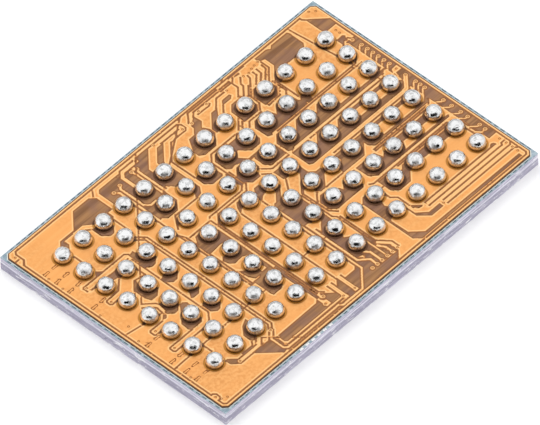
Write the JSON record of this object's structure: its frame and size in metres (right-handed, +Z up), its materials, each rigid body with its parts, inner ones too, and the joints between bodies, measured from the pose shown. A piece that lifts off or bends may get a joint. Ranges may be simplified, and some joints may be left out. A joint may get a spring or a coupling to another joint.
{
  "type": "wafer-level ball grid array chip",
  "caption": "Bare-die ball grid array chip, balls up: silicon die, patterned copper under gold-brown polyimide, round solder balls on a square grid.",
  "frame": {"origin": "centre of the die's flat back face, which the chip rests on", "axes": "+Z up through the die to the solder balls, +X along the long side of the die, +Y along its short side"},
  "size_m": [0.0062, 0.0042, 0.0004],
  "materials": {
    "silicon": "matte",
    "oxide": "gloss",
    "top_metal": "satin",
    "lower_polyimide": "gloss",
    "copper": "satin",
    "upper_polyimide": "gloss",
    "bump_metal": "satin",
    "solder": "satin"
  },
  "bodies": {
    "root": {"silicon_die": "silicon", "wiring_layers": "oxide", "seal_ring": "top_metal", "street_tiles": "top_metal", "test_pads": "top_metal", "landing_pads": "top_metal", "lower_film": "lower_polyimide", "via_posts": "copper", "edge_ring": "copper", "redistribution_copper": "copper", "gap_fill": "upper_polyimide", "upper_film": "upper_polyimide", "ubm_row_a": "bump_metal", "ubm_row_b": "bump_metal", "ubm_row_c": "bump_metal", "ubm_row_d": "bump_metal", "ubm_row_e": "bump_metal", "ubm_row_f": "bump_metal", "ubm_row_g": "bump_metal", "ubm_row_h": "bump_metal", "ball_row_a": "solder", "ball_row_b": "solder", "ball_row_c": "solder", "ball_row_d": "solder", "ball_row_e": "solder", "ball_row_f": "solder", "ball_row_g": "solder", "ball_row_h": "solder"}
  },
  "joints": []
}
